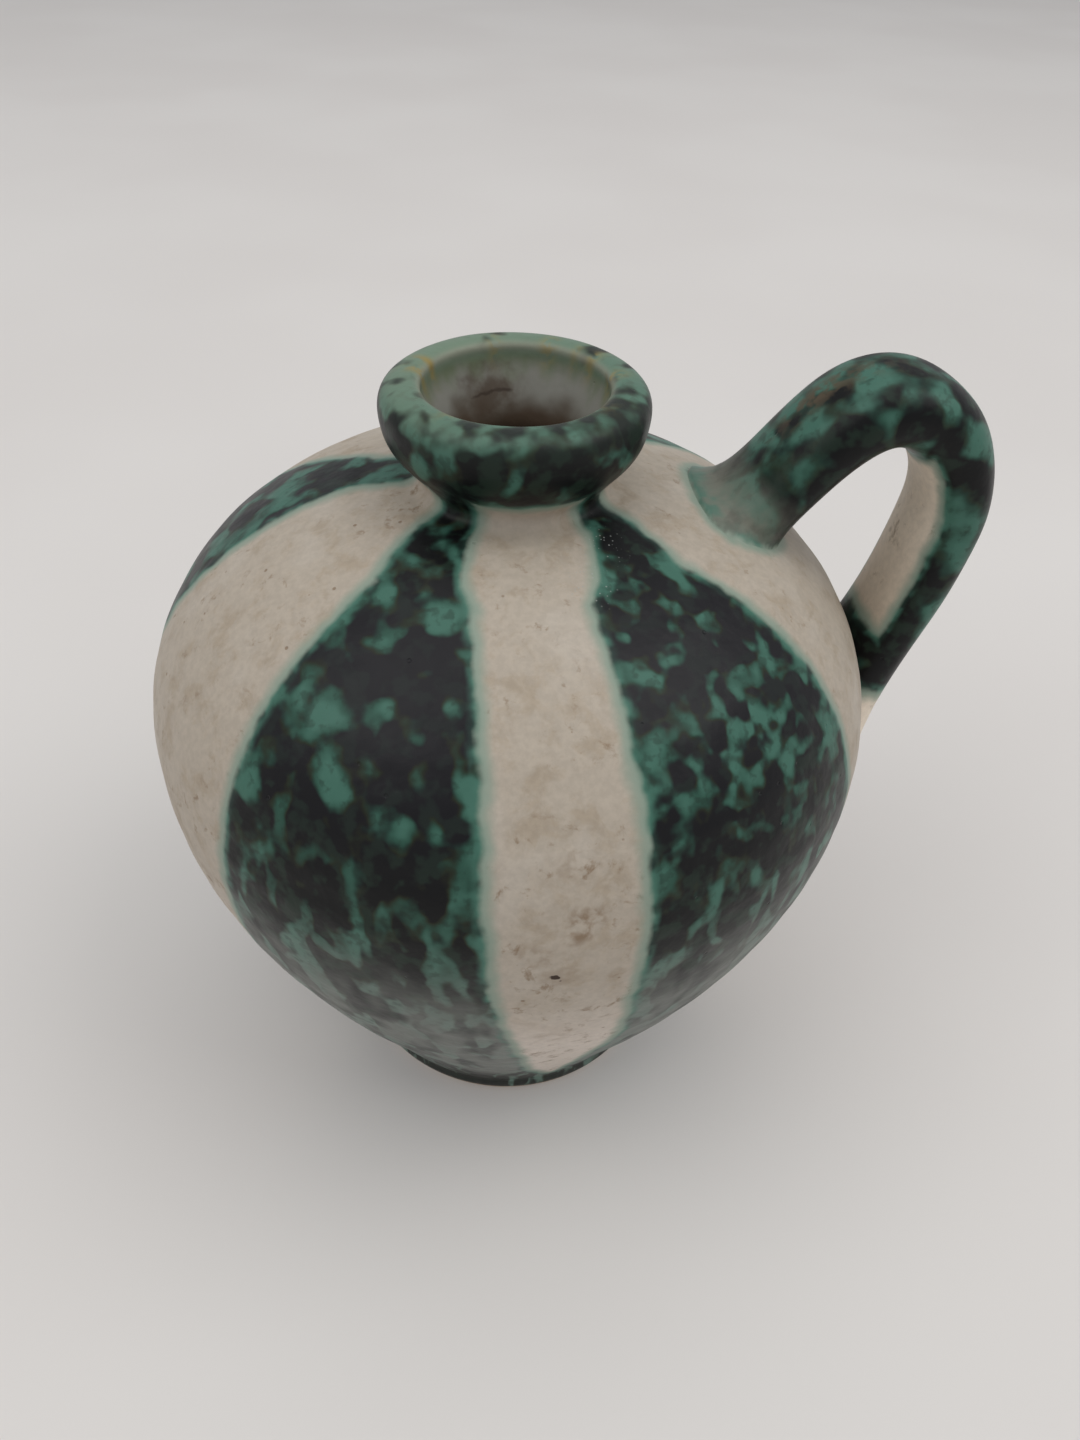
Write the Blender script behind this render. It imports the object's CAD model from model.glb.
import math

import bpy
import numpy as np
from mathutils import Matrix


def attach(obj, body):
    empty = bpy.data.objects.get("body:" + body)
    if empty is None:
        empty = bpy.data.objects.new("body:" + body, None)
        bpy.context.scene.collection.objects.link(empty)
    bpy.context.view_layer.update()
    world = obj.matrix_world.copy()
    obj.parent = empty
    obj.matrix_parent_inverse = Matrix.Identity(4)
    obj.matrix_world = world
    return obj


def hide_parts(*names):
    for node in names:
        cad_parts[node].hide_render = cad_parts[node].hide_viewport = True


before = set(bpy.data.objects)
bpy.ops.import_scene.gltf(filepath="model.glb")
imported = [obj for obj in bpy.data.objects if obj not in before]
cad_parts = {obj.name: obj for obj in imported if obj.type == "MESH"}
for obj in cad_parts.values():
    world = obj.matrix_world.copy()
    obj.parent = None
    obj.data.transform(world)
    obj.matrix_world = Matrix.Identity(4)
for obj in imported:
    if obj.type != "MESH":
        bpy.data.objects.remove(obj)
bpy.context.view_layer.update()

# Small glazed jug: dark green mottled bands and warm white panels on a thrown body.
# Lengths are millimetres until a mesh is made. Angles are degrees, anticlockwise from the
# handle as seen from above. A run is a length along an outline, from its lower end.
MM = 0.001

# Glazed outline from the foot to the throat, as cubic curves of (radius, height)
FOOT_SIDE = [(24.0, 1.1), (24.4, 1.5), (24.4, 3.5)]
LOWER = [(24.4, 3.5), (32.4, 21.38), (46.8, 43.15), (46.8, 63.4)]
UPPER = [(46.8, 63.4), (46.8, 81.28), (32.4, 92.75), (13.0, 95.55)]
CREASE = [(13.0, 95.55), (11.71, 95.74), (10.77, 96.61), (11.55, 97.65)]
COLLAR = [(11.55, 97.65), (12.99, 99.57), (15.4, 101.4), (15.4, 104.9)]
ROLL = [(15.4, 104.9), (15.4, 106.88), (14.30, 108.1), (12.5, 108.1)]
INNER_ROLL = [(12.5, 108.1), (11.6, 108.1), (10.7, 107.875), (10.7, 107.2)]
FUNNEL = [(10.7, 107.2), (10.7, 104.3), (7.6, 101.4), (7.6, 98.5)]
THROAT = [(7.6, 98.5), (7.6, 95.15)]
LIP_GLAZE_HEIGHT = 106.4

# Cream panels: angles of the left edge, right edge and tip, then how many degrees the left
# and right edges spread at the top
PANELS = [
    (-34.0, 30.0, -2.0, 11.0, 8.0),
    (62.0, 88.0, 76.0, 7.0, 8.0),
    (124.0, 146.0, 134.0, 8.0, 6.0),
    (179.0, 221.0, 201.0, 8.0, 4.0),
    (261.5, 282.5, 276.5, 11.0, 3.0),
]
# How both edges of a panel run up the body: share of the run, share of the panel's width,
# share of the spread
SIDE = [
    (0.000, 0.00, 0.00), (0.022, 0.02, 0.00), (0.035, 0.16, 0.00), (0.080, 0.31, 0.00),
    (0.156, 0.46, 0.00), (0.248, 0.59, 0.00), (0.339, 0.72, 0.00), (0.425, 0.86, 0.00),
    (0.509, 0.97, 0.00), (0.636, 1.00, 0.05), (0.739, 1.00, 0.15), (0.810, 1.00, 0.32),
    (0.870, 1.00, 0.62), (0.930, 1.00, 1.00), (0.965, 1.00, 0.95), (1.100, 1.00, 0.90),
]
TIP_SHARE = 0.022
TIP_ROOM = 0.6
PANEL_TOP_OVERRUN = 1.9
# Degrees that the glaze ran past its panel: left and right at the collar, left on the
# shoulder, with the shares of the run over which that grows
NECK_SPAN = (0.885, 0.965)
NECK_SHIFT = [(10.0, 0.0), (0.0, 0.0), (0.0, 0.0), (3.0, -9.0), (-6.0, 15.0)]
SHOULDER_SPAN = (0.60, 0.74)
SHOULDER_SHIFT = (0.0, 0.0, 0.0, 4.0, 0.0)
# The front panel's blunt tip leans to the right: share of the run, degrees on the left and
# on the right
FRONT_PANEL = 4
TIP_LEAN = [
    (0.000, 3.5, 4.5), (0.022, 3.5, 4.5), (0.050, 3.0, 4.5), (0.080, 2.0, 4.3),
    (0.130, 0.0, 3.6), (0.156, 0.0, 3.2), (0.248, 0.0, 2.4), (0.339, 0.0, 2.4),
    (0.470, 0.0, 0.0),
]
# Stand-ins for an edge distance where no panel is near
NO_PANEL = -99.0
DARK_ONLY = -6.0

# Mesh grid of the body
COLUMNS = 480
SPACING = 0.62
MOUTH_SPACING_SHARE = 0.55
CURVE_POINTS = 241

# Unevenness of a hand-made surface, in seeded waves through space
RNG = np.random.default_rng(7)
WAVE_COUNT = 26
SHORTEST_WAVE = 9
LONGEST_WAVE = 26

# Relief of the body: throwing rings, unevenness and thicker glaze at the edges of a band
RING_HEIGHT = 0.030
RING_PITCH = 5.1
RING_SPIRAL = 0.8
BODY_UNEVENNESS = 0.10
THICK_GLAZE = 0.05
THICK_GLAZE_REACH = 1.2
RELIEF_START = -1.0
RELIEF_FADE = 4.0

# Fields of the mouth: lengths on the run over which each look comes in
LIP_FADE = 3.0
INNER_FADE = 1.4
RIM_BACK = 0.2
RIM_WIDTH = 0.55
OCHRE_BACK = 0.3
OCHRE_LENGTH = 2.0
# Ochre runs inside the mouth's edge: angle, width in degrees and strength
OCHRE = [
    (164, 4.5, 0.8), (149, 3.5, 0.9), (98, 4.0, 0.45), (64, 5.0, 0.55), (45, 3.0, 0.35),
    (31, 4.0, 0.6), (4, 5.5, 0.6), (225, 5.0, 0.3), (320, 6.0, 0.2),
]
# Where the lip is palest, and where the dark glaze is mottled more finely
PALE_TURN = 118
PALE_MEAN = 0.62
FINE_TURN = 308
FINE_WIDTH = 26
# Where the shoulder can carry the mint fringe of the handle's root
ROOT_RUN = 80
ROOT_TURN = 40
ROOT_FRINGE = -0.2

# Handle: section and centreline, as cubic curves of (reach, height)
STRAP_HALF_WIDTH = 7.0
STRAP_HALF_THICK = 4.2
PEAK_HALF_THICK = 4.65
PEAK_SPREAD = 16
FULLNESS = 0.88
RISE = [(26.5, 88.5), (33.57, 95.57), (37.8, 104.5), (44.4, 104.5)]
OVER = [(44.4, 104.5), (49.2, 104.5), (54.8, 99.3), (54.8, 91.0)]
FALL = [(54.8, 91.0), (54.8, 84.0), (48.45, 62.72), (40.5, 50.0)]
SECTION = 96
SPINE_SPACING = 0.55
HANDLE_UNEVENNESS = 0.13
HANDLE_WAVE_SCALE = 1.15
HANDLE_WAVE_OFFSET = 40.0
# The strap spreads where it meets the body
FLARE = 1.55
FLARE_START = 1.0
FLARE_FADE = 1.9
BURIED_DEPTH = 1.3
ROOT_LINE_REACH = 0.4
DISTANCE_BLOCK = 4000

# Cream strip inside the loop and the hems at both ends of the strap
STRIP_HALF_TURN = 50.0
STRIP_START = 7.0
STRIP_END = 25.7
STRIP_SLOPE = 0.105
END_SLOPE = 0.8
HEM_LENGTH = 17.4
HEM_BACK = 0.15
NO_HEM = -9
INSIDE_TURN = 270
# Tone along and round the strap
HANDLE_RUN = 70.0
LIT_SHADE = 0.08
LIT_TURN = 0.3
END_SHADE = 0.12
END_SHADE_START = 6
END_SHADE_FADE = 8
BEND_LIGHT = 0.035
BEND_RUN = 42
BEND_REACH = 16
BEND_TURN = 0.5
GREY_START = 1.15
GREY_FADE = 5.5
GREY_TURN = 0.75
RUST_RUN = (18, 5)
RUST_TURN = (88, 15)
WARM_STRENGTH = 0.6
WARM_OVERRUN = 1


# ---------------------------------------------------------------- outline and fields
def bezier(poles):
    p = np.array(poles, float)
    t = np.linspace(0, 1, CURVE_POINTS)[:, None]
    s = 1 - t
    return s**3 * p[0] + 3 * s * s * t * p[1] + 3 * s * t * t * p[2] + t**3 * p[3]


def run_of(points):
    return np.concatenate([[0], np.cumsum(np.linalg.norm(np.diff(points, axis=0), axis=1))])


def resample(points, spacing):
    run = run_of(points)
    count = max(2, int(math.ceil(run[-1] / spacing)) + 1)
    goal = np.linspace(0, run[-1], count)
    return np.column_stack([np.interp(goal, run, points[:, k]) for k in range(2)])


def outline():
    parts = [("foot", np.array(FOOT_SIDE)), ("body", bezier(LOWER)), ("body", bezier(UPPER)),
             ("body", bezier(CREASE)), ("collar", bezier(COLLAR)), ("collar", bezier(ROLL)),
             ("lip", bezier(INNER_ROLL)), ("throat", bezier(FUNNEL)),
             ("throat", np.array(THROAT))]
    points = []
    tags = []
    for tag, curve in parts:
        step = SPACING if tag in ("foot", "body") else SPACING * MOUTH_SPACING_SHARE
        piece = resample(curve, step)
        if points:
            piece = piece[1:]
        points.extend(piece)
        tags.extend([tag] * len(piece))
    return np.array(points), tags


PROFILE, TAGS = outline()
BODY_START = len(resample(np.array(FOOT_SIDE), SPACING)) - 1
RUN = run_of(PROFILE)
RUN -= RUN[BODY_START]
BODY_LENGTH = RUN[max(i for i, tag in enumerate(TAGS) if tag == "body")]
MOUTH_RUN = RUN[max(i for i, tag in enumerate(TAGS) if tag == "lip")]
LIP_RUN = RUN[next(i for i, p in enumerate(PROFILE) if p[1] > LIP_GLAZE_HEIGHT)]


def profile_normals():
    along = np.gradient(PROFILE, axis=0)
    along /= np.linalg.norm(along, axis=1)[:, None]
    return np.column_stack([along[:, 1], -along[:, 0]])


WAVES = [(RNG.normal(size=3), RNG.uniform(SHORTEST_WAVE, LONGEST_WAVE),
          RNG.uniform(0, 2 * math.pi)) for _ in range(WAVE_COUNT)]


def unevenness(points):
    total = np.zeros(len(points))
    for direction, length, phase in WAVES:
        unit = direction / np.linalg.norm(direction)
        wave = np.sin(points @ unit * (2 * math.pi / length) + phase)
        total += (length / LONGEST_WAVE) * wave
    return total / math.sqrt(len(WAVES))


def half_turn_range(turn):
    return (turn + 180) % 360 - 180


def bell(value, centre, width):
    return np.exp(-((value - centre) / width)**2)


# Distance from the edge of the nearest cream panel, positive inside it, and that panel
def panel_field(turn, run, radius):
    share = run / BODY_LENGTH
    neck = np.interp(share, NECK_SPAN, (0, 1))
    shoulder = np.interp(share, SHOULDER_SPAN, (0, 1))
    lean = np.array(TIP_LEAN)
    rows = np.array(SIDE)
    way = np.interp(share, rows[:, 0], rows[:, 1])
    top = np.interp(share, rows[:, 0], rows[:, 2])
    low = (share - TIP_SHARE) * BODY_LENGTH + TIP_ROOM
    high = BODY_LENGTH + PANEL_TOP_OVERRUN - run
    per_degree = radius * math.pi / 180
    best = np.full(turn.shape, NO_PANEL)
    which = np.zeros(turn.shape, int)
    for index, (left, right, tip, left_spread, right_spread) in enumerate(PANELS):
        rel = half_turn_range(turn - tip)
        left_shift = NECK_SHIFT[index][0] * neck + SHOULDER_SHIFT[index] * shoulder
        right_shift = NECK_SHIFT[index][1] * neck
        if index == FRONT_PANEL:
            left_shift = left_shift + np.interp(share, lean[:, 0], lean[:, 1])
            right_shift = right_shift + np.interp(share, lean[:, 0], lean[:, 2])
        gap_right = (right - tip) * way + right_spread * top + right_shift - rel
        gap_left = rel + (tip - left) * way + left_spread * top - left_shift
        across = np.minimum(gap_left * per_degree, gap_right * per_degree)
        inside = np.minimum(across, np.minimum(low, high))
        which = np.where(inside > best, index, which)
        best = np.maximum(best, inside)
    return best, which


# Bands are counted like the panels: each starts at its panel's tip
def band_index(turn):
    first, *others = [panel[2] % 360 for panel in PANELS]
    return np.where(turn % 360 >= first, 0, np.searchsorted(others, turn % 360, side="right"))


# ---------------------------------------------------------------- meshes
def add_mesh(name, points, faces, normals, fields):
    used = np.unique(faces)
    remap = np.full(len(points), -1)
    remap[used] = np.arange(len(used))
    mesh = bpy.data.meshes.new(name)
    mesh.from_pydata((points[used] * MM).tolist(), [], remap[faces].tolist())
    mesh.update()
    mesh.shade_smooth()
    for key, values in fields.items():
        layer = mesh.attributes.new(key, "FLOAT", "POINT")
        layer.data.foreach_set("value", np.asarray(values, np.float32)[used])
    mesh.normals_split_custom_set_from_vertices(normals[used].tolist())
    obj = bpy.data.objects.new(name, mesh)
    bpy.context.scene.collection.objects.link(obj)
    return obj


def grid_faces(rows, columns):
    i, j = np.meshgrid(np.arange(rows - 1), np.arange(columns), indexing="ij")
    a = i * columns + j
    b = i * columns + (j + 1) % columns
    return np.stack([a, b, b + columns, a + columns], axis=-1).reshape(-1, 4)


def grid_normals(points, faces):
    a, b, c, d = (points[faces[:, k]] for k in range(4))
    cross = np.cross(c - a, d - b)
    total = np.zeros_like(points)
    for k in range(4):
        np.add.at(total, faces[:, k], cross)
    return total / np.maximum(np.linalg.norm(total, axis=1), 1e-9)[:, None]


def add_coat(name, points, faces, normals, fields, material, nodes):
    piece = add_mesh(name, points, faces, normals, fields)
    piece.data.materials.append(material)
    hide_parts(*nodes)
    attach(piece, "root")


def distance_to(line, points):
    return np.sqrt(((points[:, None, :] - line[None]) ** 2).sum(-1)).min(axis=1)


# One dense skin for body, collar, lip and throat, cut into the coats
def jug_skin(materials, root):
    rows = len(PROFILE)
    turn = np.tile(np.arange(COLUMNS) * (360.0 / COLUMNS), (rows, 1))
    run = np.tile(RUN[:, None], (1, COLUMNS))
    radius = np.tile(PROFILE[:, :1], (1, COLUMNS))
    height = np.tile(PROFILE[:, 1:], (1, COLUMNS))
    angle = np.radians(turn)
    edge, which = panel_field(turn, run, radius)
    edge = np.where(run < 0, DARK_ONLY, edge)
    flat = np.stack([radius * np.cos(angle), radius * np.sin(angle), height], axis=-1)
    normal = profile_normals()
    outward = np.tile(normal[:, :1], (1, COLUMNS))
    upward = np.tile(normal[:, 1:], (1, COLUMNS))
    out = np.stack([outward * np.cos(angle), outward * np.sin(angle), upward], axis=-1)
    rings = RING_HEIGHT * np.sin(run * (2 * math.pi / RING_PITCH) + RING_SPIRAL * np.sin(angle))
    thick = THICK_GLAZE * np.clip(0.5 - edge / THICK_GLAZE_REACH, 0, 1)
    fade = np.clip((run - RELIEF_START) / RELIEF_FADE, 0, 1)
    uneven = BODY_UNEVENNESS * unevenness(flat.reshape(-1, 3)).reshape(flat.shape[:2])
    lift = (uneven + rings + thick - THICK_GLAZE) * fade
    points = (flat + out * lift[..., None]).reshape(-1, 3)
    faces = grid_faces(rows, COLUMNS)
    normals = grid_normals(points, faces)

    lip = np.clip((run - LIP_RUN) / LIP_FADE + 0.5, 0, 1)
    ochre = sum(size * bell(half_turn_range(turn - centre), 0, width)
                for centre, width, size in OCHRE)
    near = (run > ROOT_RUN) & (run < BODY_LENGTH) & (np.abs(half_turn_range(turn)) < ROOT_TURN)
    fringe = edge.copy()
    fringe[near] = np.minimum(edge[near], distance_to(root, flat[near]) + ROOT_FRINGE)
    fine = bell(half_turn_range(turn - FINE_TURN), 0, FINE_WIDTH)
    fields = {
        "edge": fringe,
        "run": run,
        "lip": lip,
        "pale": lip * (PALE_MEAN + (1 - PALE_MEAN) * np.cos(np.radians(turn - PALE_TURN))),
        "inner": np.clip((run - MOUTH_RUN) / INNER_FADE, 0, 1),
        "rim": bell(run, MOUTH_RUN - RIM_BACK, RIM_WIDTH),
        "ochre": ochre * bell(run, MOUTH_RUN - OCHRE_BACK, OCHRE_LENGTH),
        "fine": np.maximum(fine, lip),
        "depth": np.maximum(run - MOUTH_RUN, 0),
    }
    fields = {key: values.ravel() for key, values in fields.items()}

    # Each face goes to the coat that it belongs to
    tags = np.array(TAGS)[faces[:, 0] // COLUMNS + 1]
    face_edge = edge.ravel()[faces].mean(axis=1)
    face_panel = which.ravel()[faces[:, 0]]
    face_band = band_index(turn.ravel()[faces[:, 0]])
    face_height = points[faces].mean(axis=1)[:, 2]
    on_lip = (tags == "lip") | ((tags == "collar") & (face_height > LIP_GLAZE_HEIGHT))
    coats = {"foot_glaze": (tags == "foot", "green_glaze"),
             "collar_glaze": ((tags == "collar") & ~on_lip, "green_glaze"),
             "lip_glaze": (on_lip, "lip_glaze"),
             "throat_glaze": (tags == "throat", "liner_glaze")}
    body = tags == "body"
    for k in range(len(PANELS)):
        panel = body & (face_edge > 0) & (face_panel == k)
        band = body & (face_edge <= 0) & (face_band == k)
        coats["cream_panel_%d" % (k + 1)] = (panel, "cream_glaze")
        coats["green_band_%d" % (k + 1)] = (band, "green_glaze")
    for node, (chosen, slot) in coats.items():
        add_coat(node + "_coat", points, faces[chosen], normals, fields, materials[slot],
                 (node,))


# ---------------------------------------------------------------- handle
def outer_radius(height):
    top = int(np.argmax(PROFILE[:, 1]))
    return np.interp(height, PROFILE[:top + 1, 1], PROFILE[:top + 1, 0])


# Signed distance from the glazed outline, positive outside the jug
def outside_distance(points):
    flat = np.column_stack([np.hypot(points[:, 0], points[:, 1]), points[:, 2]])
    result = np.empty(len(flat))
    for start in range(0, len(flat), DISTANCE_BLOCK):
        part = flat[start:start + DISTANCE_BLOCK]
        gap = distance_to(PROFILE, part)
        inside = part[:, 0] < outer_radius(part[:, 1])
        result[start:start + DISTANCE_BLOCK] = np.where(inside, -gap, gap)
    return result


def section_side(wave):
    return np.sign(wave) * np.abs(wave)**FULLNESS


# The strap's skin. It returns the points where the strap's root meets the shoulder.
def handle_skin(materials):
    spine = np.vstack([bezier(RISE), bezier(OVER)[1:], bezier(FALL)[1:]])
    spine = resample(spine, SPINE_SPACING)
    rows = len(spine)
    run = run_of(spine)
    peak_run = run[len(resample(bezier(RISE), SPINE_SPACING))]
    along = np.gradient(spine, axis=0)
    along /= np.linalg.norm(along, axis=1)[:, None]
    up = np.column_stack([-along[:, 1], along[:, 0]])
    thicker = (PEAK_HALF_THICK - STRAP_HALF_THICK) * bell(run, peak_run, PEAK_SPREAD)
    centre = np.column_stack([spine[:, 0], np.zeros(rows), spine[:, 1]])
    away = np.clip(outside_distance(centre) + FLARE_START, -1, None)
    flare = FLARE * np.exp(-away / FLARE_FADE)
    angle = np.arange(SECTION) * (2 * math.pi / SECTION)
    across = (STRAP_HALF_WIDTH + flare)[:, None] * section_side(np.cos(angle))[None]
    lift = (STRAP_HALF_THICK + thicker + flare)[:, None] * section_side(np.sin(angle))[None]
    points = np.stack([spine[:, :1] + up[:, :1] * lift, across,
                       spine[:, 1:] + up[:, 1:] * lift], axis=-1).reshape(-1, 3)
    radial = points - np.repeat(centre, SECTION, axis=0)
    radial /= np.maximum(np.linalg.norm(radial, axis=1), 1e-9)[:, None]
    uneven = unevenness(points * HANDLE_WAVE_SCALE + HANDLE_WAVE_OFFSET)
    points = points + radial * (HANDLE_UNEVENNESS * uneven)[:, None]
    faces = grid_faces(rows, SECTION)[:, ::-1]
    normals = grid_normals(points, faces)
    gap = outside_distance(points)

    # Cream inside of the loop on the way down, dark round the lower end, cream at its foot
    along_run = np.repeat(run, SECTION)
    side = np.tile(np.degrees(angle), rows)
    start = peak_run + STRIP_START
    end = run[-1] - STRIP_END
    inner = STRIP_HALF_TURN - np.abs(half_turn_range(side - INSIDE_TURN))
    ends = np.minimum(along_run - start, end - along_run) * END_SLOPE
    strip = np.minimum(inner * STRIP_SLOPE, ends)
    rising = along_run < peak_run
    hem_low = (along_run - (run[-1] - HEM_LENGTH)) * END_SLOPE
    hem_top = np.where(rising, -HEM_BACK - gap, NO_HEM)
    edge = np.maximum(strip, np.maximum(hem_low, hem_top))
    lit = np.sin(np.radians(side))
    shade = LIT_SHADE * (np.clip(LIT_TURN - lit, 0, 1) - np.clip(lit, 0, 1))
    shade += END_SHADE * np.clip((along_run - end + END_SHADE_START) / END_SHADE_FADE, 0, 1)
    shade -= BEND_LIGHT * bell(along_run, BEND_RUN, BEND_REACH) * np.clip(lit + BEND_TURN, 0, 1)
    near_root = np.clip(GREY_START - gap / GREY_FADE, 0, 1) * np.clip(lit + GREY_TURN, 0, 1)
    low = np.clip((along_run - start) / (end - start), 0, 1) * (along_run < end + WARM_OVERRUN)
    fields = {
        "edge": edge,
        "run": np.full(len(points), HANDLE_RUN),
        "shade": shade,
        "handle": np.ones(len(points)),
        "warm": WARM_STRENGTH * low**2,
        "grey": np.where(rising, near_root, 0),
        "rust": bell(along_run, *RUST_RUN) * bell(side, *RUST_TURN),
    }
    keep = (gap[faces] > -BURIED_DEPTH).any(axis=1)
    cream = strip[faces].mean(axis=1) > 0
    for name, chosen, slot, nodes in (
            ("handle_green_coat", keep & ~cream, "green_glaze",
             ("handle_green_glaze", "upper_joint", "lower_joint")),
            ("handle_cream_coat", keep & cream, "cream_glaze", ("handle_cream_glaze",))):
        add_coat(name, points, faces[chosen], normals, fields, materials[slot], nodes)
    return points[rising & (np.abs(gap) < ROOT_LINE_REACH)]


# ---------------------------------------------------------------- materials
# Noises: size in millimetres, then detail, roughness and twist
NOISES = {
    "wave": (3.6, 1.5, 0.5),
    "ripple": (1.4, 2.0, 0.5),
    # dark glaze
    "patches": (4.1, 0.8, 0.4, 0.25),
    "fine_patches": (2.9, 1.2, 0.45, 0.22),
    "streaks": (2.7, 1.3, 0.5, 0.45),
    "crumbs": (1.5, 1.0, 0.5),
    "broad": (13.0, 1.0),
    "cores": (6.0, 1.0),
    "soil": (2.6, 2.5),
    "fringe": (3.1, 2.0),
    "freckles": (1.3, 2.0, 0.5),
    "dull": (4.4, 2.0, 0.5, 0.2),
    "root": (1.9, 3.0),
    "rust": (1.7, 2.0),
    # cream glaze
    "blotch": (3.6, 4.0, 0.60, 0.3),
    "pale_area": (9.0, 2.0),
    "grain": (0.9, 3.0, 0.6),
    "soiled": (2.2, 4.0, 0.66, 0.3),
    "stain_area": (8.0, 1.0),
    "torn": (2.0, 3.0, 0.55, 0.3),
    # edges, mouth and surface
    "crowd": (2.9, 1.5),
    "runs": (2.2, 2.0, 0.5, 0.0),
    "ochre": (1.5, 2.0),
    "gloss": (1.8, 3.0),
    "swell": (3.4, 2.0),
    "pits": (0.8, 3.0, 0.6),
    # bare clay, liner and floor
    "clay": (5.0, 4.0),
    "grit": (0.7, 3.0, 0.65),
    "clay_gloss": (1.5, 3.0),
    "clay_pits": (0.9, 4.0, 0.65),
    "liner": (7.0, 3.0),
    "liner_gloss": (2.0, 3.0),
    "liner_swell": (2.5, 3.0),
    "cloth": (160.0, 2.0),
}
# Smooth ramps: from, to, and where they don't run from 0 to 1, the values at both ends.
# Those named _run take a run, those named _edge a distance from a panel's edge.
RAMPS = {
    # dark glaze
    "streaky_run": (84.0, 64.0),
    "crowd_edge": (-6.0, -1.0, -0.005, 0.040),
    "more_low_run": (66.0, 46.0),
    "less_foot_run": (9.0, 3.0, 0.0, 0.08),
    "collar_start_run": (106.0, 112.0),
    "collar_end_run": (130.0, 122.0, 0.0, 0.085),
    "core": (0.72, 0.90),
    "soil": (0.48, 0.62),
    "sheen_start_run": (68.0, 92.0, 0.0, 0.7),
    "sheen_end_run": (112.0, 100.0),
    "foot_run": (9.0, 1.0, 0.0, 0.7),
    "fringe": (0.48, 0.54),
    "fringe_place": (0.45, 0.58),
    "low_patch_run": (72.0, 46.0, 0.0, 0.85),
    "freckles": (0.50, 0.68, 0.0, 0.45),
    "dull_top_run": (68.0, 46.0),
    "dull_foot_run": (3.0, 17.0),
    "dull": (0.36, 0.62, 0.15, 0.90),
    "root": (0.3, 0.6, 0.65, 0.97),
    "rust": (0.4, 0.6),
    # cream glaze
    "blotch": (0.47, 0.68, 0.0, 0.55),
    "pale_area": (0.5, 0.66, 0.0, 0.5),
    "low_cream_run": (62.0, 40.0, 0.0, 0.85),
    "grain": (0.3, 0.7, 0.94, 1.05),
    "soiled_run": (80.0, 48.0),
    "soiled": (0.57, 0.74),
    "stain_area": (0.43, 0.56),
    "torn": (0.40, 0.66),
    "pinhole": (0.11, 0.05),
    "pinhole_pick": (0.70, 0.72),
    "speck_halo": (2.4, 0.6, 0.0, 0.35),
    "speck": (0.55, 0.25),
    # the edge of a band
    "crowd": (0.40, 0.58, 0.20, 1.0),
    "halo_edge": (-1.6, -0.3),
    "mint_edge": (-0.75, 0.20),
    "cream_edge": (0.0, 1.7),
    "pitted": (4.2, 1.2),
    "glint": (0.30, 0.16),
    "glint_pick": (0.62, 0.66),
    # inside of the mouth
    "olive": (0.3, 4.2),
    "brown": (3.8, 8.0),
    "flaw": (5.0, 0.4, 0.0, 0.85),
    "crack": (0.42, 0.05, 0.0, 0.60),
    "crack_reach": (3.0, 1.4),
    "ochre": (0.36, 0.52),
    # surface
    "cream_side_edge": (-0.6, 0.6),
    "roughness": (0.0, 1.0, 0.30, 0.42),
    "relief_edge": (-1.2, 0.6),
    # bare clay, liner and floor
    "mottled": (0.35, 0.65),
    "grit": (0.60, 0.70),
}

# Glaze colours, linear
BLACK = (0.0048, 0.0052, 0.0056)
DARK_GREEN = (0.013, 0.024, 0.017)
SHEEN_BLACK = (0.016, 0.015, 0.0185)
LIP_DARK = (0.024, 0.031, 0.026)
FOOT_DARK = (0.030, 0.034, 0.029)
FRINGE_OLIVE = (0.022, 0.025, 0.012)
TEAL = (0.026, 0.078, 0.056)
LIGHT_TEAL = (0.057, 0.152, 0.114)
GREY_MINT = (0.150, 0.215, 0.180)
PALE_LIP = (0.185, 0.250, 0.180)
GREY_GREEN = (0.150, 0.160, 0.143)
ROOT_GREY = (0.195, 0.195, 0.158)
RUST = (0.090, 0.068, 0.042)
HALO = (0.070, 0.180, 0.135)
MINT = (0.270, 0.330, 0.268)
CREAM = (0.455, 0.395, 0.325)
PALE_CREAM = (0.510, 0.455, 0.390)
LOW_CREAM = (0.680, 0.600, 0.530)
STRIP_CREAM = (0.820, 0.715, 0.590)
TAN = (0.350, 0.278, 0.200)
STAIN = (0.235, 0.160, 0.098)
SPECK_BROWN = (0.045, 0.026, 0.017)
GLINT_GREY = (0.36, 0.38, 0.36)
OCHRE_COLOUR = (0.300, 0.220, 0.065)
OLIVE = (0.150, 0.180, 0.112)
RIM_CREAM = (0.340, 0.335, 0.265)
INSIDE_GREY = (0.240, 0.236, 0.208)
INSIDE_BROWN = (0.078, 0.054, 0.037)
LINER_GREY = (0.22, 0.19, 0.15)
CRACK_BROWN = (0.030, 0.018, 0.012)
CLAY = (0.44, 0.33, 0.235)
LIGHT_CLAY = (0.52, 0.41, 0.30)
GRIT_BROWN = (0.24, 0.16, 0.10)
CLOTH = (0.730, 0.699, 0.676)
LIGHT_CLOTH = (0.754, 0.726, 0.703)

# Places of single marks. A stain has its place, reach and strength.
SPECK = (0.5, -46.6, 62.1)
STAINS = (
    ((3.2, -46.3, 70.0), 3.6, 0.85), ((2.4, -45.6, 77.5), 4.6, 0.55),
    ((-2.6, -46.5, 66.0), 3.4, 0.40), ((0.8, -43.0, 46.0), 3.5, 0.35),
    ((-3.0, -42.0, 85.0), 3.6, 0.40),
)
STAIN_SOLID_SHARE = 0.25
PITTED = ((6.2, -19.8, 93.9), (8.1, -13.9, 95.0))
FLAW = (-2.3, 8.6, 102.4)

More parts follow.
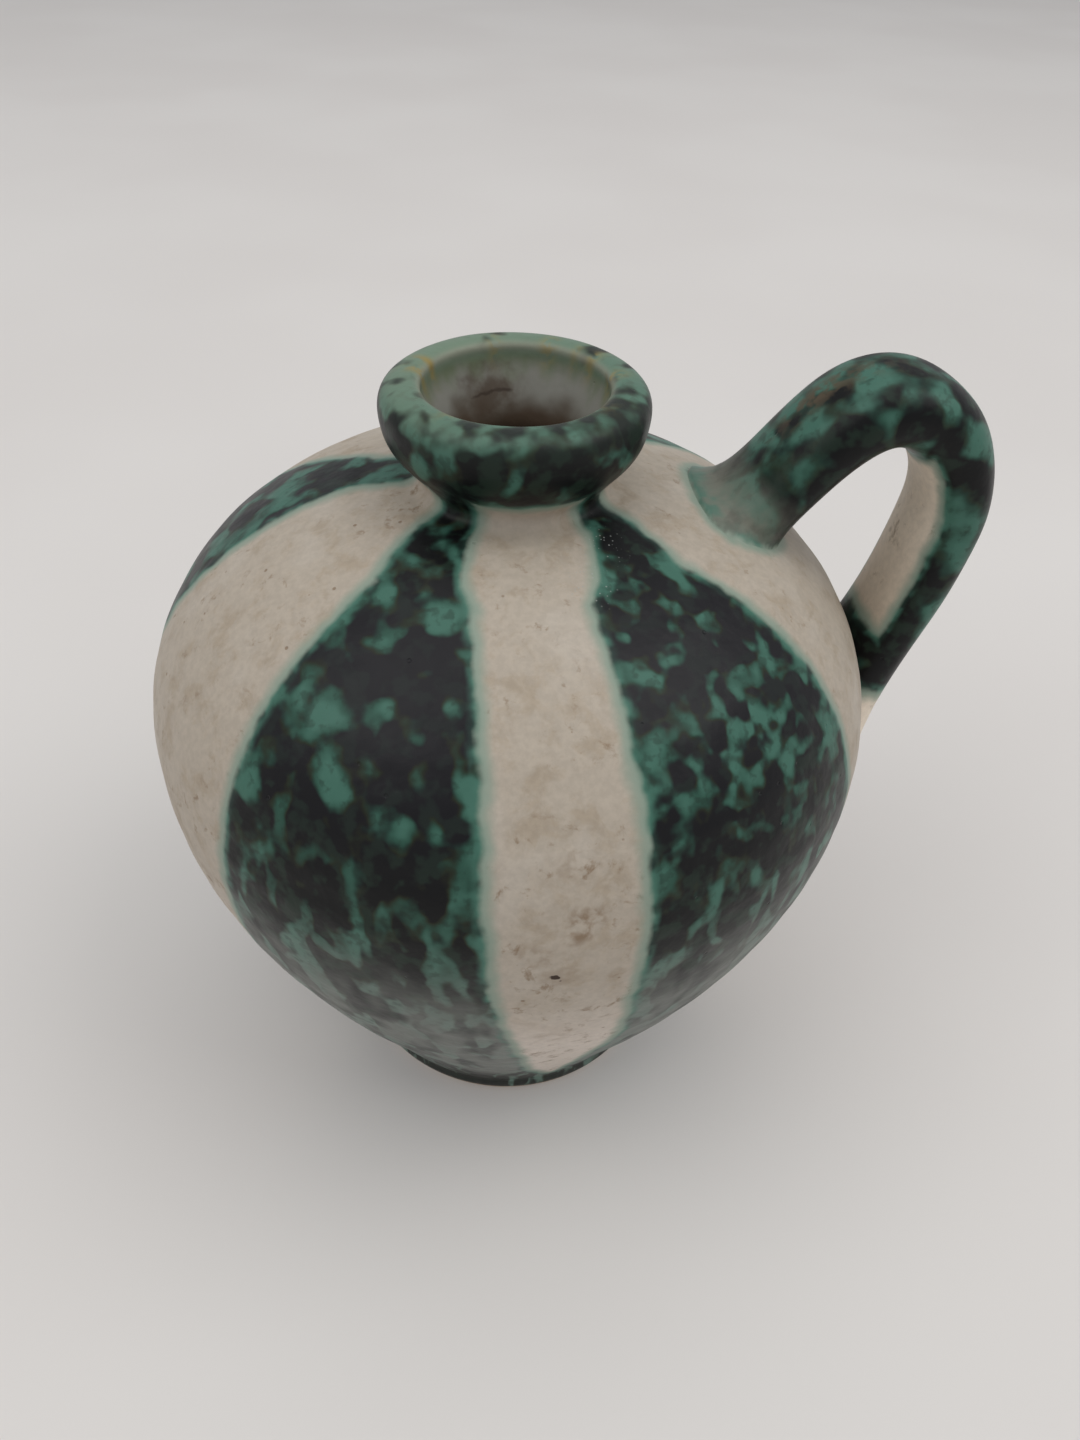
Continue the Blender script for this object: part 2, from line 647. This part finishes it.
# How far the noises move an edge or a mark, in millimetres
EDGE_WAVE = 1.4
EDGE_RIPPLE = 0.5
STAIN_WAVE = 6.0
SPECK_RIPPLE = 3.6
MOUTH_WAVE = 5.0
CRACK_WAVE = 3.0
CRACK_RIPPLE = 1.2
CRACK_SLOPE = (0.12, 0.0, 1.0)

# Coordinates of the patches: stretched along the height, and on the lower body along the
# outline, round a cylinder of this radius
PATCH_SQUASH = (1.0, 1.0, 0.84)
STREAK_RADIUS = 38.0
STREAK_SQUASH = (0.0, 0.0, 0.42)
RUNS_SQUASH = (1.0, 1.0, 0.25)
LEVEL = (1.0, 1.0, 0.0)

# What adds to the amount of green, and the amounts where it starts and is full: the first
# number counts where the edges of the patches are soft, on the lip and the handle
BROAD_SHARE = 0.16
FINE_SHARE = 0.022
LIP_SHARE = -0.005
PALE_SHARE = 0.28
LOW_SHARE = 0.030
CRUMB_SHARE = 0.14
CORE_SHARE = 0.35
HANDLE_SOFTNESS = 0.7
GREEN_START = (-0.05, 0.508)
GREEN_FULL = (0.06, 0.625)

# How strongly some looks cover what lies under them
LIP_COVER = 0.8
FRINGE_COVER = 0.75
PALE_COVER = 0.85
STAIN_COVER = 0.8
SOILED_LOW_SHARE = 0.055
PINHOLE_COVER = 0.75
GLINT_COVER = 0.6
RIM_COVER = 0.7
GRIT_COVER = 0.35
PINHOLE_CELLS = 2.6
GLINT_CELLS = 0.42

# Surface: gloss and bump. A bump has its depth in metres and its strength.
GLAZE_SPECULAR = 0.18
GLAZE_GLOSS = 0.16
EDGE_RELIEF = -0.45
GREEN_RELIEF = 0.10
SWELL_SHARE = 0.9
SWELL_BUMP = (0.00022, 0.8)
PITS_SHARE = 0.30
PITS_BUMP = (0.00010, 0.7)
CLAY_GLOSS = (0.15, 0.75)
CLAY_BUMP = (0.00012, 0.8)
LINER_GLOSS = (0.14, 0.40)
LINER_BUMP = (0.00015, 0.6)
CLOTH_ROUGHNESS = 0.9
CLOTH_SPECULAR = 0.2


class Graph:
    def __init__(self, name):
        self.material = bpy.data.materials.new(name)
        self.material.use_nodes = True
        self.tree = self.material.node_tree
        self.tree.nodes.clear()
        self.shader = self.tree.nodes.new("ShaderNodeBsdfPrincipled")
        output = self.tree.nodes.new("ShaderNodeOutputMaterial")
        self.tree.links.new(self.shader.outputs[0], output.inputs[0])
        coordinates = self.tree.nodes.new("ShaderNodeTexCoord")
        self.place = self.scaled(coordinates.outputs["Object"], 1 / MM)

    def put(self, socket, value):
        if isinstance(value, bpy.types.NodeSocket):
            self.tree.links.new(value, socket)
        elif isinstance(value, tuple) and len(value) == 3 and socket.type == "RGBA":
            socket.default_value = value + (1.0,)
        else:
            socket.default_value = value

    def shade(self, **values):
        for name, value in values.items():
            self.put(self.shader.inputs[name.replace("_", " ")], value)

    def math(self, kind, a, b=0.0, c=0.0, clamp=False):
        node = self.tree.nodes.new("ShaderNodeMath")
        node.operation = kind
        node.use_clamp = clamp
        for socket, value in zip(node.inputs, (a, b, c)):
            self.put(socket, value)
        return node.outputs[0]

    def times(self, a, b, clamp=False):
        return self.math("MULTIPLY", a, b, clamp=clamp)

    def less(self, a, b, clamp=False):
        return self.math("SUBTRACT", a, b, clamp=clamp)

    def add_share(self, value, share, rest):
        return self.math("MULTIPLY_ADD", value, share, rest)

    def vector(self, kind, a, b=(0.0, 0.0, 0.0)):
        node = self.tree.nodes.new("ShaderNodeVectorMath")
        node.operation = kind
        self.put(node.inputs[0], a)
        self.put(node.inputs[1], b)
        return node.outputs["Value"] if kind in ("DISTANCE", "DOT_PRODUCT") else node.outputs[0]

    def scaled(self, a, scale):
        node = self.tree.nodes.new("ShaderNodeVectorMath")
        node.operation = "SCALE"
        self.put(node.inputs[0], a)
        self.put(node.inputs["Scale"], scale)
        return node.outputs[0]

    def blend(self, share, a, b):
        node = self.tree.nodes.new("ShaderNodeMix")
        for socket, value in zip((node.inputs[0], node.inputs[2], node.inputs[3]), (share, a, b)):
            self.put(socket, value)
        return node.outputs[0]

    def step(self, value, low, high, to_low=0.0, to_high=1.0):
        node = self.tree.nodes.new("ShaderNodeMapRange")
        node.interpolation_type = "SMOOTHSTEP"
        for socket, amount in zip(node.inputs, (value, low, high, to_low, to_high)):
            self.put(socket, amount)
        return node.outputs[0]

    def ramp(self, value, name):
        return self.step(value, *RAMPS[name])

    def mix(self, share, a, b, kind="MIX"):
        node = self.tree.nodes.new("ShaderNodeMix")
        node.data_type = "RGBA"
        node.blend_type = kind
        self.put(node.inputs[0], share)
        self.put(node.inputs[6], a)
        self.put(node.inputs[7], b)
        return node.outputs[2]

    def noise(self, name, at=None):
        node = self.tree.nodes.new("ShaderNodeTexNoise")
        self.put(node.inputs["Vector"], at or self.place)
        size, *others = NOISES[name]
        node.inputs["Scale"].default_value = 1 / size
        for socket, value in zip(("Detail", "Roughness", "Distortion"), others):
            node.inputs[socket].default_value = value
        return node.outputs[0]

    def centred(self, name, at=None):
        return self.less(self.noise(name, at), 0.5)

    def mottle(self, name, at=None):
        return self.ramp(self.noise(name, at), name)

    def cells(self, size):
        node = self.tree.nodes.new("ShaderNodeTexVoronoi")
        self.put(node.inputs["Vector"], self.place)
        node.inputs["Scale"].default_value = 1 / size
        pick = self.tree.nodes.new("ShaderNodeSeparateColor")
        self.put(pick.inputs[0], node.outputs["Color"])
        return node.outputs["Distance"], pick.outputs[0]

    def field(self, name):
        node = self.tree.nodes.new("ShaderNodeAttribute")
        node.attribute_name = name
        return node.outputs["Fac"]

    def away(self, spot):
        return self.vector("DISTANCE", self.place, spot)

    def bump(self, height, distance, strength, after=None):
        node = self.tree.nodes.new("ShaderNodeBump")
        node.inputs["Strength"].default_value = strength
        node.inputs["Distance"].default_value = distance
        self.put(node.inputs["Height"], height)
        if after is not None:
            self.put(node.inputs["Normal"], after)
        return node.outputs[0]


# Coordinates that run round the jug and slowly up it, for streaks on the lower body
def streak_place(g):
    around = g.vector("NORMALIZE", g.vector("MULTIPLY", g.place, LEVEL))
    around = g.scaled(around, STREAK_RADIUS)
    return g.vector("ADD", around, g.vector("MULTIPLY", g.place, STREAK_SQUASH))


# Where the dark glaze turns green, and how much of it
def green_amount(g, edge, streaks_at):
    run = g.field("run")
    lip = g.field("lip")
    handle = g.field("handle")
    tall = g.vector("MULTIPLY", g.place, PATCH_SQUASH)
    patches = g.blend(g.field("fine"), g.noise("patches", tall), g.noise("fine_patches"))
    streaky = g.less(g.ramp(run, "streaky_run"), handle, clamp=True)
    patches = g.blend(streaky, patches, g.noise("streaks", streaks_at))
    bias = g.add_share(g.centred("broad"), BROAD_SHARE, g.ramp(edge, "crowd_edge"))
    for value, share in ((g.field("fine"), FINE_SHARE), (lip, LIP_SHARE),
                         (g.field("pale"), PALE_SHARE),
                         (g.ramp(run, "more_low_run"), LOW_SHARE)):
        bias = g.add_share(value, share, bias)
    collar_foot = g.times(g.ramp(run, "collar_start_run"), g.ramp(run, "collar_end_run"))
    for value in (g.field("shade"), g.ramp(run, "less_foot_run"), collar_foot):
        bias = g.less(bias, value)
    amount = g.math("ADD", patches, g.add_share(g.centred("crumbs"), CRUMB_SHARE, bias))
    soft = g.math("MAXIMUM", lip, g.times(handle, HANDLE_SOFTNESS))
    green = g.step(amount, g.add_share(soft, *GREEN_START), g.add_share(soft, *GREEN_FULL))
    return amount, green


# Dark glaze: near black, with soft green patches that crowd towards the band's edges
def dark_glaze(g, edge):
    run = g.field("run")
    streaks_at = streak_place(g)
    amount, green = green_amount(g, edge, streaks_at)
    soil = g.mix(g.mottle("soil"), BLACK, DARK_GREEN)
    sheen = g.times(g.ramp(run, "sheen_start_run"), g.ramp(run, "sheen_end_run"))
    soil = g.mix(sheen, soil, SHEEN_BLACK)
    soil = g.mix(g.times(g.field("lip"), LIP_COVER), soil, LIP_DARK)
    soil = g.mix(g.ramp(run, "foot_run"), soil, FOOT_DARK)
    fringe = g.times(g.ramp(amount, "fringe"), g.ramp(g.noise("fringe"), "fringe_place"))
    soil = g.mix(g.times(fringe, FRINGE_COVER), soil, FRINGE_OLIVE)
    core = g.ramp(g.add_share(g.noise("cores"), CORE_SHARE, amount), "core")
    patch = g.mix(core, TEAL, LIGHT_TEAL)
    patch = g.mix(g.ramp(run, "low_patch_run"), patch, GREY_MINT)
    patch = g.mix(g.mottle("freckles"), patch, DARK_GREEN)
    patch = g.mix(g.times(g.field("pale"), PALE_COVER), patch, PALE_LIP)
    dark = g.mix(green, soil, patch)
    dull = g.times(g.ramp(run, "dull_top_run"), g.ramp(run, "dull_foot_run"))
    dark = g.mix(g.times(dull, g.mottle("dull", streaks_at)), dark, GREY_GREEN)
    dark = g.mix(g.times(g.field("grey"), g.mottle("root")), dark, ROOT_GREY)
    dark = g.mix(g.times(g.field("rust"), g.mottle("rust")), dark, RUST)
    return dark, green


# Cream glaze: warm white with tan blotches, fine grain, stains, pinholes and a dark speck
def cream_glaze(g, wave, ripple):
    run = g.field("run")
    cream = g.mix(g.mottle("blotch"), CREAM, TAN)
    cream = g.mix(g.mottle("pale_area"), cream, PALE_CREAM)
    cream = g.mix(g.field("handle"), cream, g.mix(g.field("warm"), STRIP_CREAM, TAN))
    cream = g.mix(g.ramp(run, "low_cream_run"), cream, LOW_CREAM)
    cream = g.mix(1.0, cream, g.mottle("grain"), "MULTIPLY")
    soiled = g.add_share(g.ramp(run, "soiled_run"), SOILED_LOW_SHARE, g.noise("soiled"))
    stain = g.times(g.ramp(soiled, "soiled"), g.mottle("stain_area"))
    cream = g.mix(g.times(stain, STAIN_COVER), cream, STAIN)
    torn = g.mottle("torn")
    for spot, reach, strength in STAINS:
        away = g.add_share(wave, STAIN_WAVE, g.away(spot))
        near = g.step(away, reach, reach * STAIN_SOLID_SHARE, 0.0, strength)
        cream = g.mix(g.times(near, torn), cream, STAIN)
    near_cell, pick = g.cells(PINHOLE_CELLS)
    pinhole = g.times(g.ramp(near_cell, "pinhole"), g.ramp(pick, "pinhole_pick"))
    cream = g.mix(g.times(pinhole, PINHOLE_COVER), cream, STAIN)
    away = g.add_share(ripple, SPECK_RIPPLE, g.away(SPECK))
    cream = g.mix(g.ramp(away, "speck_halo"), cream, STAIN)
    cream = g.mix(g.ramp(away, "speck"), cream, SPECK_BROWN)
    return cream, pinhole


# The edge of a band: teal, then a soft mint tint that fades into the cream
def banded(g, edge, dark, cream):
    halo = g.times(g.ramp(edge, "halo_edge"), g.mottle("crowd"))
    colour = g.mix(halo, dark, HALO)
    colour = g.mix(g.ramp(edge, "mint_edge"), colour, MINT)
    colour = g.mix(g.ramp(edge, "cream_edge"), colour, cream)
    for spot in PITTED:
        crater, pick = g.cells(GLINT_CELLS)
        glint = g.times(g.ramp(crater, "glint"), g.ramp(pick, "glint_pick"))
        glint = g.times(glint, g.ramp(g.away(spot), "pitted"))
        colour = g.mix(g.times(glint, GLINT_COVER), colour, GLINT_GREY)
    return colour


# Inside of the mouth: olive runs, pale grey wall, brown depth and one stained, cracked flaw
def mouth_inside(g, colour, wave, ripple):
    depth = g.field("depth")
    runs = g.centred("runs", g.vector("MULTIPLY", g.place, RUNS_SQUASH))
    olive = g.ramp(g.add_share(runs, MOUTH_WAVE, depth), "olive")
    deep = g.mix(olive, OLIVE, INSIDE_GREY)
    deep = g.mix(g.ramp(g.add_share(wave, MOUTH_WAVE, depth), "brown"), deep, INSIDE_BROWN)
    flaw = g.add_share(ripple, MOUTH_WAVE, g.away(FLAW))
    deep = g.mix(g.ramp(flaw, "flaw"), deep, INSIDE_BROWN)
    height = g.less(g.vector("DOT_PRODUCT", g.place, CRACK_SLOPE), FLAW[2])
    bend = g.add_share(wave, CRACK_WAVE, g.times(ripple, CRACK_RIPPLE))
    crack = g.math("ABSOLUTE", g.math("ADD", bend, height))
    crack = g.times(g.ramp(crack, "crack"), g.ramp(flaw, "crack_reach"))
    deep = g.mix(crack, deep, CRACK_BROWN)
    colour = g.mix(g.field("inner"), colour, deep)
    colour = g.mix(g.times(g.field("rim"), RIM_COVER), colour, RIM_CREAM)
    ochre = g.times(g.field("ochre"), g.mottle("ochre"), clamp=True)
    return g.mix(ochre, colour, OCHRE_COLOUR)


# One glaze for all coats: the fields of each mesh say which look shows where
def glaze(name):
    g = Graph(name)
    wave = g.centred("wave")
    ripple = g.centred("ripple")
    edge = g.add_share(ripple, EDGE_RIPPLE, g.field("edge"))
    edge = g.add_share(wave, EDGE_WAVE, edge)
    dark, green = dark_glaze(g, edge)
    cream, pinhole = cream_glaze(g, wave, ripple)
    colour = mouth_inside(g, banded(g, edge, dark, cream), wave, ripple)
    rough = g.ramp(g.ramp(edge, "cream_side_edge"), "roughness")
    relief = g.add_share(g.ramp(edge, "relief_edge"), EDGE_RELIEF, g.times(green, GREEN_RELIEF))
    swell = g.bump(g.add_share(g.noise("swell"), SWELL_SHARE, relief), *SWELL_BUMP)
    pits = g.less(g.times(g.noise("pits"), PITS_SHARE), pinhole)
    g.shade(Base_Color=colour,
            Roughness=g.add_share(g.noise("gloss"), GLAZE_GLOSS, rough),
            Specular_IOR_Level=GLAZE_SPECULAR,
            Normal=g.bump(pits, *PITS_BUMP, swell))
    return g.material


def bare_clay():
    g = Graph("bare_clay")
    body = g.mix(g.ramp(g.noise("clay"), "mottled"), CLAY, LIGHT_CLAY)
    body = g.mix(g.times(g.mottle("grit"), GRIT_COVER), body, GRIT_BROWN)
    g.shade(Base_Color=body,
            Roughness=g.add_share(g.noise("clay_gloss"), *CLAY_GLOSS),
            Normal=g.bump(g.noise("clay_pits"), *CLAY_BUMP))
    return g.material


def liner():
    g = Graph("liner_glaze")
    tone = g.mix(g.ramp(g.noise("liner"), "mottled"), INSIDE_BROWN, LINER_GREY)
    g.shade(Base_Color=tone,
            Roughness=g.add_share(g.noise("liner_gloss"), *LINER_GLOSS),
            Normal=g.bump(g.noise("liner_swell"), *LINER_BUMP))
    return g.material


# The coats are modelled here; the clay and the liner keep their CAD solids
def dress():
    materials = {name: glaze(name) for name in ("green_glaze", "cream_glaze", "lip_glaze")}
    materials["liner_glaze"] = glaze("throat_glaze")
    root = handle_skin(materials)
    jug_skin(materials, root)
    clay = bare_clay()
    inside = liner()
    for node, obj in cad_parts.items():
        chosen = inside if node == "liner_glaze" else clay
        for place in obj.material_slots:
            place.material = chosen
        if not obj.material_slots:
            obj.data.materials.append(chosen)


# ---------------------------------------------------------------- camera, floor and light
# The camera was fitted to the photo. Its place is in millimetres, its axes are unit vectors
# and its lens and sensor are in millimetres too.
CAMERA_PLACE = (-11.98, -113.97, 159.1)
CAMERA_X = (0.99298261, -0.11447581, 0.02967883)
CAMERA_Y = (0.0537914, 0.66070643, 0.74871457)
CAMERA_Z = (-0.1053187, -0.74186407, 0.66222781)
LENS = 27.03
SENSOR_WIDTH = 36
NEAREST = 0.01

# Floor, lights and world in metres and watts. A light has its name, place, size and power.
FLOOR_HALF = 4.0
LIGHTS = (
    ("overhead", (0.0, 0.15, 1.3), 1.0, 3.3),
    ("left", (-0.8, -0.25, 1.1), 0.9, 3.7),
    ("right", (0.8, -0.25, 1.1), 0.9, 4.9),
)
LIGHT_AIM = (0.0, 0.0, 0.05)
LIGHT_COLOUR = (1.0, 0.99, 0.97)
LIGHT_TOP_HINT = (0.0, 1.0, 0.01)
WORLD_COLOUR = (0.95, 0.97, 1.0)
WORLD_STRENGTH = 0.47


# Matrix of an object from its x, y and z axes and its place
def standing(x, y, z, place):
    columns = [list(axis) + [0] for axis in (x, y, z)] + [list(place) + [1]]
    return Matrix(columns).transposed()


def camera():
    data = bpy.data.cameras.new("camera")
    data.lens = LENS
    data.sensor_width = SENSOR_WIDTH
    data.clip_start = NEAREST
    obj = bpy.data.objects.new("camera", data)
    place = [value * MM for value in CAMERA_PLACE]
    obj.matrix_world = standing(CAMERA_X, CAMERA_Y, CAMERA_Z, place)
    bpy.context.scene.collection.objects.link(obj)
    bpy.context.scene.camera = obj


def floor():
    mesh = bpy.data.meshes.new("floor")
    corners = [(x * FLOOR_HALF, y * FLOOR_HALF, 0) for x, y in ((-1, -1), (1, -1), (1, 1), (-1, 1))]
    mesh.from_pydata(corners, [], [(0, 1, 2, 3)])
    obj = bpy.data.objects.new("floor", mesh)
    bpy.context.scene.collection.objects.link(obj)
    g = Graph("floor_cloth")
    g.shade(Base_Color=g.mix(g.ramp(g.noise("cloth"), "mottled"), CLOTH, LIGHT_CLOTH),
            Roughness=CLOTH_ROUGHNESS, Specular_IOR_Level=CLOTH_SPECULAR)
    obj.data.materials.append(g.material)


def area_light(name, place, size, power):
    data = bpy.data.lights.new(name, "AREA")
    data.shape = "SQUARE"
    data.size = size
    data.energy = power
    data.color = LIGHT_COLOUR
    obj = bpy.data.objects.new(name, data)
    back = np.array(place) - np.array(LIGHT_AIM)
    back /= np.linalg.norm(back)
    side = np.cross(LIGHT_TOP_HINT, back)
    side /= np.linalg.norm(side)
    obj.matrix_world = standing(side, np.cross(back, side), back, place)
    bpy.context.scene.collection.objects.link(obj)


def lights():
    world = bpy.data.worlds.new("world")
    world.use_nodes = True
    background = world.node_tree.nodes["Background"]
    background.inputs["Color"].default_value = WORLD_COLOUR + (1.0,)
    background.inputs["Strength"].default_value = WORLD_STRENGTH
    bpy.context.scene.world = world
    for light in LIGHTS:
        area_light(*light)


dress()
camera()
floor()
lights()
bpy.context.scene.view_settings.view_transform = "Standard"
